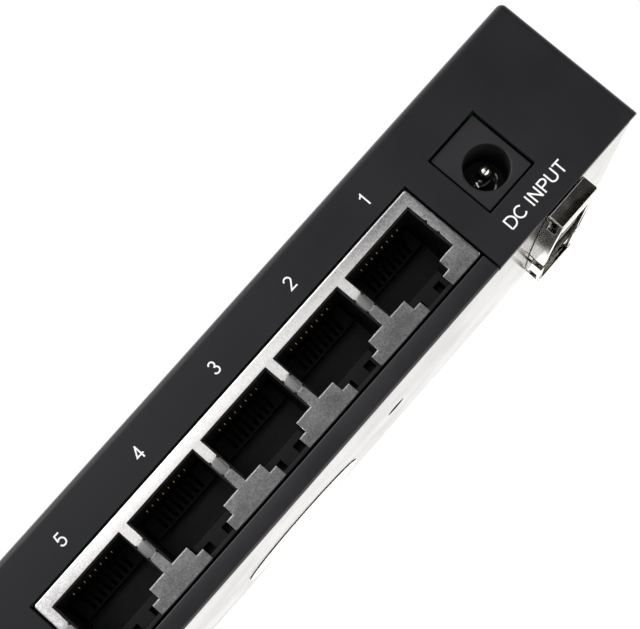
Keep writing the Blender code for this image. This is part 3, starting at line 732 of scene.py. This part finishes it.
def make_end_screws():
    """Flat-headed screws with a cross recess, in both end walls."""
    face = CASE_HALF - 0.1
    number = 0
    for side in (1, -1):
        for y in (-END_SCREW_Y, END_SCREW_Y):
            number += 1
            profile = [(0, face), (2.3, face), (2.48, face - 0.05), (2.58, face - 0.18)]
            profile += [(1.5, face - 0.85), (1.5, face - 5.4), (0, face - 5.4)]
            profile = [(radius, side * x) for radius, x in profile]
            screw = solid(f"end_screw_{number}", turned(profile, "X", (y, END_SCREW_Z), 40))
            arm, width = 1.4, 0.25
            outline = [(arm, width), (width, width), (width, arm)]
            outline += [(-u, v) for u, v in reversed(outline)]
            outline += [(-u, -v) for u, v in outline]
            outline = [(y + u, END_SCREW_Z + v) for u, v in outline]
            near, far = sorted((side * (face + 0.5), side * (face - 0.6)))
            cut(screw, prism(outline, "X", near, far))
            dress(screw, "screw_steel", nodes=[f"cover_screw_{number}"], edge=0.04)


def make_label():
    """A blank oval label on a dark pad stuck to the underside; the pad's edge shows as a dark line at
    the label's edge.
    """
    centre = ((LABEL_LO.x + LABEL_HI.x) / 2, (LABEL_LO.y + LABEL_HI.y) / 2)
    across, along = (LABEL_HI.x - LABEL_LO.x) / 2, (LABEL_HI.y - LABEL_LO.y) / 2
    top = PLATE_LO.z - 0.01
    pad_low, paper_low = top - 0.08, top - 0.12
    outline = arc(centre, (across, along), 0, 357, 119)
    # The pad is narrower than the label along X, so its dark line runs only along the middle of the
    # label's edge.
    rim = arc(centre, (across * 0.8, along - 0.05), 0, 357, 119)
    dress(solid("label_pad", prism(rim, "Z", pad_low, top)), "label_pad", edge=0)
    paper = solid("label", prism(outline, "Z", paper_low, pad_low))
    dress(paper, "label", nodes=["rating_label"], edge=0)


def make_lamps():
    """Domed lenses with a flange, in the back wall."""
    base_y, end = node_box("lamp_1")[0].y, node_box("lamp_1")[1].y
    for k in range(LAMPS):
        flange = LAMP_R + 0.25
        profile = [(0, base_y), (flange, base_y), (flange, base_y + 0.8), (LAMP_R, base_y + 0.8)]
        dome = arc((0, end - LAMP_R), LAMP_R, 0, 90, 12)
        profile += dome[:-1] + [(0, end)]
        lens = solid(f"lens_{k + 1}", turned(profile, "Y", (LAMP_X0 + LAMP_PITCH * k, LAMP_Z), 40))
        dress(lens, "lamp_lens", nodes=[f"lamp_{k + 1}"], edge=0)


# Ports --------------------------------

def opening_side():
    """Right edge of a port's opening from its top down, with the notches at the ground finger."""
    top, low = FINGER_TOP, FINGER_LOW
    edge = [(0, OPEN_TOP), (0, top + 0.1), (0.17, top), (0.17, top - 0.26), (-0.07, top - 0.42)]
    edge += [(-0.07, low + 0.42), (0.15, low + 0.24), (0.15, low + 0.04), (0, low - 0.08)]
    points = [(OPEN_HALF + u, v) for u, v in edge] + [(OPEN_HALF, STEP_1_Z)]
    points += [(STEP_1_HALF, STEP_1_Z), (STEP_1_HALF, STEP_2_Z), (STEP_2_HALF, STEP_2_Z)]
    return points + [(STEP_2_HALF, BLOCK_LO.z - 1)]


def make_shield():
    """Tinned shield: a stepped front with rounded corners, folded back over the top and ends."""
    def shell(bm):
        add_box(bm, tuple(BLOCK_LO), tuple(BLOCK_HI))
        round_off(bm, lambda e: abs(e.verts[0].co.y - e.verts[1].co.y) > 1, 0.45, 6)
        round_off(bm, lambda e: all(v.co.y < BLOCK_LO.y + 0.01 for v in e.verts), 0.22, 4)

    hollow = box((BLOCK_LO.x + SHIELD, BLOCK_LO.y + SHIELD, BLOCK_LO.z - 1),
                 (BLOCK_HI.x - SHIELD, BLOCK_HI.y + 1, BLOCK_HI.z - SHIELD))
    right = opening_side()
    outline = right + [(-u, v) for u, v in reversed(right)]
    openings = several(prism([(x + u, v) for u, v in outline], "Y", BLOCK_LO.y - 1, BLOCK_LO.y + 1)
                       for x in PORT_X)
    shield = cut(solid("shield", shell), hollow, openings)
    dress(shield, "shield_tin", nodes=["port_shield"], edge=0.05, front_only=True)


def make_fingers():
    """A domed tongue of the shield on each strip between two ports."""
    across, tall, rise = 0.66, (FINGER_TOP - FINGER_LOW) / 2 + 0.08, 0.09
    middle_z = (FINGER_TOP + FINGER_LOW) / 2
    steps = ((1.0, -0.25), (1.0, 0.0), (0.94, 0.45), (0.84, 0.7), (0.62, 0.9), (0.3, 0.98))
    sides = 32
    for k in range(PORTS - 1):
        middle_x = (PORT_X[k] + PORT_X[k + 1]) / 2

        def dome(bm):
            rings = []
            for share, lift in steps:
                ring = []
                for s in range(sides):
                    turn = 2 * math.pi * (s + 0.5) / sides
                    u, v = math.cos(turn), math.sin(turn)
                    x = middle_x + across * share * math.copysign(abs(u) ** 0.55, u)
                    z = middle_z + tall * share * math.copysign(abs(v) ** 0.55, v)
                    ring.append(bm.verts.new((x, BLOCK_LO.y - rise * lift, z)))
                rings.append(ring)
            add_skin(bm, rings)

        dress(solid(f"ground_finger_{k + 1}", dome), "finger_tin", edge=0)


def make_housing():
    """Moulded block with a cavity, a latch channel and two pockets for each port."""
    inset = SHIELD + GAP
    y0, y1 = BLOCK_LO.y + inset, BLOCK_HI.y - 0.2
    housing = solid("housing", box((BLOCK_LO.x + inset, y0, BLOCK_LO.z + 0.1),
                                   (BLOCK_HI.x - inset, y1, BLOCK_HI.z - inset)))
    cavities, channels, pockets = [], [], []
    for x in PORT_X:
        half = OPEN_HALF - 0.3
        cavities.append(box((x - half, y0 - 1, STEP_1_Z - 0.1),
                            (x + half, CAVITY_BACK, OPEN_TOP - 0.2)))
        half = STEP_1_HALF - 0.1
        channels.append(box((x - half, y0 - 1, BLOCK_LO.z + 0.6),
                            (x + half, CHANNEL_BACK, STEP_1_Z + 1)))
        for pocket in (x - POCKET_X, x + POCKET_X):
            pockets.append(box((pocket - 0.6, CHANNEL_BACK - 0.5, POCKET_LOW),
                               (pocket + 0.6, CHANNEL_BACK + 2.5, POCKET_LOW + 1.2)))
    cut(housing, several(cavities), several(channels), several(pockets))
    dress(housing, "black_plastic", nodes=["port_housing"], edge=0.08)


def make_contacts():
    """Each port's black comb, with a slot for each of its eight gilt wires."""
    back = CAVITY_BACK - GAP
    front = back - 2.2
    wire_r, slot_half = 0.13, 0.27
    for k, x in enumerate(PORT_X):
        comb = solid(f"comb_{k + 1}", box((x - 5.6, front, COMB_LO), (x + 5.6, back, COMB_HI)))
        wire_x = [x + (n - (WIRES - 1) / 2) * WIRE_PITCH for n in range(WIRES)]
        cut(comb, several(box((w - slot_half, front - 1, COMB_LO + 0.35),
                              (w + slot_half, front + 1.2, COMB_HI + 1)) for w in wire_x))
        # The comb takes the darker plastic as painted shade deep in the port.
        dress(comb, "comb_plastic", edge=0.05)

        def wires(bm):
            for w in wire_x:
                path = [(w, front + 1.6, COMB_LO + 0.7), (w, front + 0.6, COMB_LO + 0.75)]
                path += [(w, front - 0.4, COMB_LO + 1.0), (w, FRONT + 4.4, 16.3)]
                path += [(w, FRONT + 3.9, 16.42), (w, FRONT + 3.65, 16.6), (w, FRONT + 3.6, 16.78)]
                add_tube(bm, path, wire_r)

        made = solid(f"wires_{k + 1}", wires)
        dress(made, "contact_gold", nodes=[f"contact_set_{k + 1}"], edge=0, angle=70)


# Power jack ---------------------------

def make_jack():
    x, z = JACK_AXIS
    face = JACK_LO.y
    bore_end = face + 9.6
    radius = 3.18
    housing = solid("jack", box(tuple(JACK_LO), tuple(JACK_HI)))
    mouth = [(0, face - 1), (radius + 1.15, face - 1), (radius + 0.15, face)]
    mouth += [(radius + 0.03, face + 0.08), (radius, face + 0.22), (radius, bore_end), (0, bore_end)]
    cut(housing, turned(mouth, "Y", (x, z), 72))
    dress(housing, "jack_plastic", nodes=["jack_housing"], edge=0.14)

    tip, pin_r = PIN_LO.y, (PIN_HI.x - PIN_LO.x) / 2
    nose = arc((0, tip + pin_r), pin_r, -90, 0, 14)[1:]
    profile = [(0, tip)] + nose + [(pin_r, bore_end - GAP), (0, bore_end - GAP)]
    pin = solid("jack_centre_pin", turned(profile, "Y", (x, z), 40))
    dress(pin, "nickel", nodes=["jack_pin"], edge=0)

    def band(start, stop, inside, outside, y0, y1):
        """Part of a tube round the pin's lower side, between two angles and two depths."""
        middle = (x, z - 0.5)
        outline = arc(middle, outside, start, stop, 20) + arc(middle, inside, stop, start, 20)
        return prism(outline, "Y", FRONT + y0, FRONT + y1)

    leaf = solid("jack_leaf", band(132, 352, 1.3, 1.55, 8.7, 9.5))
    join(leaf, band(144, 176, 1.3, 1.58, 6.0, 8.8), band(314, 350, 1.34, 1.5, 6.0, 8.8))
    dress(leaf, "contact_tin", nodes=["jack_contact"], edge=0.04, angle=50)


# Printed marks ------------------------

# Each letter's advance and its strokes, for a letter one unit high
GLYPHS = {
    "1": (0.5, [[(0.36, 0), (0.36, 1.0)], [(0.37, 0.96), (0.27, 0.83), (0.1, 0.74)]]),
    "2": (0.64, [arc((0.32, 0.7), (0.25, 0.245), 165, -25, 12) + [(0.07, 0.065), (0.6, 0.065)]]),
    "3": (0.64, [arc((0.3, 0.73), (0.21, 0.215), 160, -90, 10),
                 arc((0.3, 0.285), (0.245, 0.23), 90, -165, 12)]),
    "4": (0.64, [[(0.46, 0), (0.46, 0.99)], [(0.47, 0.95), (0.06, 0.29), (0.63, 0.29)]]),
    "5": (0.64, [[(0.56, 0.93), (0.18, 0.93), (0.1, 0.49)],
                 arc((0.32, 0.33), (0.26, 0.275), 143, -160, 14)]),
    "D": (0.78, [[(0.12, 0.065), (0.12, 0.935), (0.36, 0.935)]
                 + arc((0.36, 0.5), (0.34, 0.435), 80, -80, 12)
                 + [(0.36, 0.065), (0.12, 0.065)]]),
    "C": (0.76, [arc((0.42, 0.5), (0.34, 0.44), 42, 318, 18)]),
    "I": (0.3, [[(0.15, 0), (0.15, 1)]]),
    "N": (0.78, [[(0.12, 0), (0.12, 1)], [(0.12, 0.96), (0.64, 0.04)], [(0.64, 0), (0.64, 1)]]),
    "P": (0.7, [[(0.12, 0), (0.12, 1)], [(0.12, 0.935), (0.4, 0.935)]
                + arc((0.4, 0.7), (0.22, 0.235), 80, -80, 8) + [(0.4, 0.465), (0.12, 0.465)]]),
    "U": (0.76, [[(0.12, 1)] + arc((0.38, 0.33), (0.26, 0.27), 180, 360, 12) + [(0.64, 1)]]),
    "T": (0.66, [[(0.03, 0.935), (0.63, 0.935)], [(0.33, 0.93), (0.33, 0)]]),
    " ": (0.34, []),
}
INK_FRONT, INK_LAYER = FRONT - 0.012, 0.0015     # crossing strokes lie a layer apart
DIGIT_X1, DIGIT_PITCH, DIGIT_Z = 22.6, 14.59, 22.05      # spaced wider than the ports


def add_stroke(bm, points, width, front):
    """A flat stroke of even width along points in X and Z, with its front face at y = front."""
    line = [Vector(p) for p in points]
    left, right = [], []
    for k, point in enumerate(line):
        before = (point - line[k - 1]).normalized() if k else None
        after = (line[k + 1] - point).normalized() if k < len(line) - 1 else None
        along = ((before or after) + (after or before)).normalized()
        normal = Vector((-along.y, along.x))
        reach = width / 2 / max(0.45, along.dot(after or before))
        left.append(tuple(point + normal * reach))
        right.append(tuple(point - normal * reach))
    add_prism(bm, left + right[::-1], "Y", front, FRONT + 0.01)


def make_text(name, text, middle, height, stroke, width=None):
    """Print text in X and Z, centred on middle; width squeezes or widens it to that length."""
    natural = sum(GLYPHS[c][0] for c in text)
    stretch = (width / (natural * height)) if width else 1.0

    def build(bm):
        pen = middle[0] - natural * stretch * height / 2
        layer = 0
        for char in text:
            advance, strokes = GLYPHS[char]
            for points in strokes:
                placed = [(pen + u * stretch * height, middle[1] + (v - 0.5) * height)
                          for u, v in points]
                add_stroke(bm, placed, stroke, INK_FRONT - INK_LAYER * layer)
                layer = (layer + 1) % 3
            pen += advance * stretch * height

    dress(solid(name, build), "ink", edge=0)


def make_marks():
    """The port numbers and a plain name for the power input."""
    for k in range(PORTS):
        make_text(f"digit_{k + 1}", str(k + 1), (DIGIT_X1 - DIGIT_PITCH * k, DIGIT_Z), 1.95, 0.22)
    make_text("input_name", "DC INPUT", (37.7, 5.72), 1.84, 0.235, 11.3)


# Rail clips ---------------------------

def jaw_profile(outer, direction, plate_end):
    """Side outline of a hooked strip, in Y and Z: plate, jaw and the lip under the rail's edge."""
    lip_end = outer + direction * (CLIP_T + LIP)
    inner = outer + direction * CLIP_T
    bend = outer + direction * JAW_R
    start, stop = (90, 180) if direction > 0 else (90, 0)
    top = arc((bend, CLIP_TOP - JAW_R), JAW_R, start, stop, 6)
    low = arc((bend, JAW_R), JAW_R, stop, stop + start if direction > 0 else -90, 6)
    under = CLIP_TOP - CLIP_T
    points = [(plate_end, CLIP_TOP)] + top + low + [(lip_end, 0.0), (lip_end, CLIP_T)]
    return points + [(inner, CLIP_T), (inner, under), (plate_end, under)]


def bowed_wall(x, y0, y1, thickness, jaw, hook):
    """Plan outline of a side wall that bows towards -X between y0 and y1."""
    steps = 20
    outer, inner = [], []
    for k in range(steps + 1):
        y = y0 + (y1 - y0) * k / steps
        offset = BOW * math.sin(math.pi * (y - jaw) / (hook - jaw))
        outer.append((x - offset, y))
        inner.append((x - offset + thickness, y))
    return outer + inner[::-1]


def upright(node):
    """Middle in X and Y, radius, lowest and highest point of an upright screw or rivet."""
    low, high = node_box(node)
    return ((low.x + high.x) / 2, (low.y + high.y) / 2), (high.x - low.x) / 2, low.z, high.z


def make_clip(side):
    """A rail clip: a latch that slides out towards the ports, and a fixed base with a hook."""
    x = CLIP_X[side]
    left, right = x - CLIP_HALF, x + CLIP_HALF
    jaw = node_box(f"clip_latch_{side}")[0].y
    latch_end = node_box(f"clip_latch_{side}")[1].y
    base_start, hook = (corner.y for corner in node_box(f"clip_base_{side}"))
    jaw_in, hook_in = jaw + CLIP_T, hook - CLIP_T
    under = CLIP_TOP - CLIP_T
    wall_low = 0.2
    rail_slot = (CLIP_T + 0.02, under - 0.02)

    def walls(y0, y1, web0, web1):
        """A bowed left wall with the web that ties it to the plate, and a straight right wall."""
        yield prism(bowed_wall(left, web0, web1, WEB, jaw, hook), "Z", under + 0.05, CLIP_TOP)
        yield prism(bowed_wall(left, y0, y1, CLIP_T, jaw, hook), "Z", wall_low, CLIP_TOP)
        yield box((right - CLIP_T, y0, wall_low), (right - 0.02, y1, CLIP_TOP))

    latch = solid(f"latch_{side}_metal", prism(jaw_profile(jaw, 1, latch_end), "X", left, right))
    join(latch, *walls(jaw_in - 0.1, LATCH_WALL_END, jaw_in + 1, latch_end - 0.1))
    # A wall across the latch, on which the spring pulls, with an ear at its right
    join(latch, box((left - 0.6, CROSS_Y, 0.15), (right - 0.1, CROSS_Y + CLIP_T, CLIP_TOP)),
         box((right - 0.5, CROSS_Y, 0.55), (right + 1.6, CROSS_Y + CLIP_T, CLIP_TOP)))
    first, last = SHOULDER_Y
    ahead, spare, slot_width, corner_r = 1.9, 6.8, 3.2, 0.55
    length = last - first + spare
    guide_slot = slot_outline((x, first - ahead + length / 2), slot_width, length)
    corner = [(right + 0.1, -0.1), (right + 0.1, corner_r)]
    corner += arc((right - corner_r, corner_r), corner_r, 0, -90, 8) + [(right - corner_r, -0.1)]
    cut(latch, prism(guide_slot, "Z", under - 0.3, CLIP_TOP + 1),
        prism(corner, "Y", jaw - 1, jaw + 4),
        box((left - 2, jaw_in + 0.02, rail_slot[0]), (right + 2, jaw_in + FLANGE, rail_slot[1])))
    dress(latch, "nickel", f"latch_{side}", [f"clip_latch_{side}"], edge=0.07)

    base = solid(f"base_{side}_metal", prism(jaw_profile(hook, -1, base_start), "X", left, right))
    join(base, *walls(BASE_WALL_START, hook_in + 0.1, BASE_WALL_START + 0.1, hook_in - 1))
    hole = rod(1.4, under - 1, CLIP_TOP + 1)
    cut(base, several(turned(hole, "Z", upright(f"clip_rivet_{side}_{n}")[0], 32) for n in (1, 2)),
        box((left - 2, hook_in - FLANGE, rail_slot[0]), (right + 2, hook_in - 0.02, rail_slot[1])))
    dress(base, "nickel", "case", [f"clip_base_{side}"], edge=0.07)

    for number in (1, 2):
        centre, head_r, head, end = upright(f"clip_screw_{side}_{number}")
        profile = [(0, head)] + arc((head_r - 0.4, head + 0.4), 0.4, -90, 0, 6)
        profile += [(head_r, head + 0.9), (1.25, head + 0.9), (1.25, end), (0, end)]
        screw = solid(f"guide_screw_{side}_{number}", turned(profile, "Z", centre, 40))
        cut(screw, box((centre[0] - 3, centre[1] - 0.3, head - 1),
                       (centre[0] + 3, centre[1] + 0.3, head + 0.45)))
        dress(screw, "screw_steel", nodes=[f"clip_screw_{side}_{number}"], edge=0.04)
        centre, head_r, head, end = upright(f"clip_rivet_{side}_{number}")
        crown = arc((0, head), (head_r, 0.7), 90, 0, 8)
        dome = [(radius, 2 * head + 0.7 - z) for radius, z in crown]
        profile = [(0, head)] + dome[1:] + [(1.1, head + 0.7), (1.1, end), (0, end)]
        dress(solid(f"rivet_{side}_{number}", turned(profile, "Z", centre, 40)), "screw_steel",
              nodes=[f"clip_rivet_{side}_{number}"], edge=0)
    make_spring(side)


def make_spring(side):
    """The coil that pulls the latch shut: it stretches between the latch and the base."""
    low, high = node_box(f"clip_spring_{side}")
    wire = 0.13
    radius = (high.x - low.x) / 2 - wire
    x, z = (low.x + high.x) / 2, (low.z + high.z) / 2
    turns, per_turn = 16, 20
    start, stop = low.y + wire, high.y - wire
    path = []
    for k in range(turns * per_turn + 1):
        turn = 2 * math.pi * k / per_turn
        path.append((x + radius * math.cos(turn), start + (stop - start) * k / (turns * per_turn),
                     z + radius * math.sin(turn)))
    coil = solid(f"spring_{side}", lambda bm: add_tube(bm, path, wire))
    dress(coil, "nickel", None, [f"clip_spring_{side}"], edge=0, angle=70)
    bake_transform(coil)


# CAD nodes that stay ------------------

def dress_cad_nodes():
    """Every CAD node takes its record slot's material, and the blocky ones get softer edges."""
    blocky = ("transformer", "switch_chip", "memory_chip", "regulator_chip", "inductor", "crystal",
              "circuit_board", "lamp_holder", "board_standoff")
    for entry in frame["record"]["subparts"]:
        name = entry["node"]
        node = frame["nodes"][name]
        node.data.materials.clear()
        node.data.materials.append(MATERIALS[entry["material_slot"]])
        if name.startswith(blocky):
            weld = node.modifiers.new("weld", "WELD")
            weld.merge_threshold = 0.002 * MM
            flat = node.modifiers.new("flat", "DECIMATE")
            flat.decimate_type = "DISSOLVE"
            flat.angle_limit = math.radians(2)
            soften(node, 0.1, 35)


# Studio -------------------------------

class Sky(Graph):
    """The studio: plain white when seen, and as a light a room with a soft box in front."""

    def __init__(self):
        world = bpy.data.worlds.new("studio")
        scene.world = world
        world.use_nodes = True
        super().__init__(world.node_tree)
        self.tree.nodes.clear()
        direction = self.add("ShaderNodeTexCoord").outputs["Generated"]
        self.x, self.y, self.z = self.add("ShaderNodeSeparateXYZ", {0: direction}).outputs

    def degrees(self, operation, *values):
        return self.maths("DIVIDE", self.maths(operation, *values), math.pi / 180)

    def ramp(self, value, low, high, out_low=0.0, out_high=1.0):
        return self.spread(value, low, high, out_low, out_high, kind="SMOOTHSTEP")

    def band(self, value, low, high, soft):
        """One between low and high, falling to nought over soft on both sides."""
        return self.product(self.ramp(value, low - soft, low),
                            self.ramp(value, high, high + soft, 1.0, 0.0))

    def patch(self, across, up, soft_across, soft_up, turn, height):
        """One inside a patch of the sky, falling to nought over its soft edges."""
        return self.product(self.band(turn, *across, soft_across), self.band(height, *up, soft_up))

    def shaded(self, light, patch):
        """The light with the patch almost blacked out."""
        return self.product(light, self.maths("SUBTRACT", 1.0, self.product(patch, 0.95)))

    def white(self, strength):
        inputs = {"Color": (1.0, 1.0, 1.0), "Strength": strength}
        return self.add("ShaderNodeBackground", inputs).outputs[0]


def make_world():
    """Light by direction: turn counts from the front towards +X, back from the back towards -X."""
    sky = Sky()
    height = sky.degrees("ARCSINE", sky.z)
    turn = sky.degrees("ARCTAN2", sky.x, sky.product(sky.y, -1.0))
    back = sky.degrees("ARCTAN2", sky.product(sky.x, -1.0), sky.y)
    room = sky.ramp(sky.y, -0.3, 0.6, FRONT_LIGHT, BACK_LIGHT)
    ceiling = sky.ramp(sky.z, 0.45, 0.95, 0.0, TOP_LIGHT)
    soft_box = sky.product(sky.patch(*SOFT_BOX_PATCH, turn, height), SOFT_BOX)
    light = sky.maths("ADD", sky.maths("ADD", room, ceiling), soft_box)
    light = sky.shaded(light, sky.patch(*FLAG_PATCH, back, height))
    light = sky.shaded(light, sky.patch(*CURTAIN_PATCH, turn, height))
    seen = sky.add("ShaderNodeLightPath").outputs["Is Camera Ray"]
    choice = sky.add("ShaderNodeMixShader", {0: seen, 1: sky.white(light), 2: sky.white(1.0)})
    sky.add("ShaderNodeOutputWorld", {"Surface": choice.outputs[0]})


def aim(thing, place, target, roll=0.0):
    """Stand a light or camera at a place, and turn it towards the target and about its own axis."""
    thing.location = Vector(place) * MM
    level = (Vector(target) - Vector(place)).to_track_quat("-Z", "Y")
    thing.rotation_mode = "QUATERNION"
    thing.rotation_quaternion = level @ Matrix.Rotation(math.radians(roll), 3, "Z").to_quaternion()


def make_key():
    light = bpy.data.lights.new("key", "AREA")
    light.shape = "RECTANGLE"
    light.size, light.size_y = (side * MM for side in KEY_SIZE)
    light.energy = KEY_POWER
    aim(new_object("key", light), KEY_AT, KEY_AIM)


def make_floor():
    """A pale floor, cut short at the left, where the clips mirror the dark side of the room."""
    bm = bmesh.new()
    bm.faces.new([bm.verts.new(Vector((x, y, FLOOR_Z)) * MM) for x, y in FLOOR_OUTLINE])
    mesh = bpy.data.meshes.new("floor")
    bm.to_mesh(mesh)
    bm.free()
    mesh.materials.append(floor_paint("floor"))
    new_object("floor", mesh)


def make_camera():
    lens = bpy.data.cameras.new("camera")
    lens.lens = LENS
    lens.sensor_width = 36.0
    lens.clip_start = 0.005
    camera = new_object("camera", lens)
    aim(camera, CAMERA_AT, CAMERA_AIM, CAMERA_ROLL)
    scene.camera = camera
    scene.view_settings.view_transform = "Standard"


dress_cad_nodes()
make_cover()
make_plate()
make_end_screws()
make_label()
make_lamps()
make_shield()
make_fingers()
make_housing()
make_contacts()
make_jack()
make_marks()
for clip_side in SIDES:
    make_clip(clip_side)
make_world()
make_key()
make_floor()
make_camera()
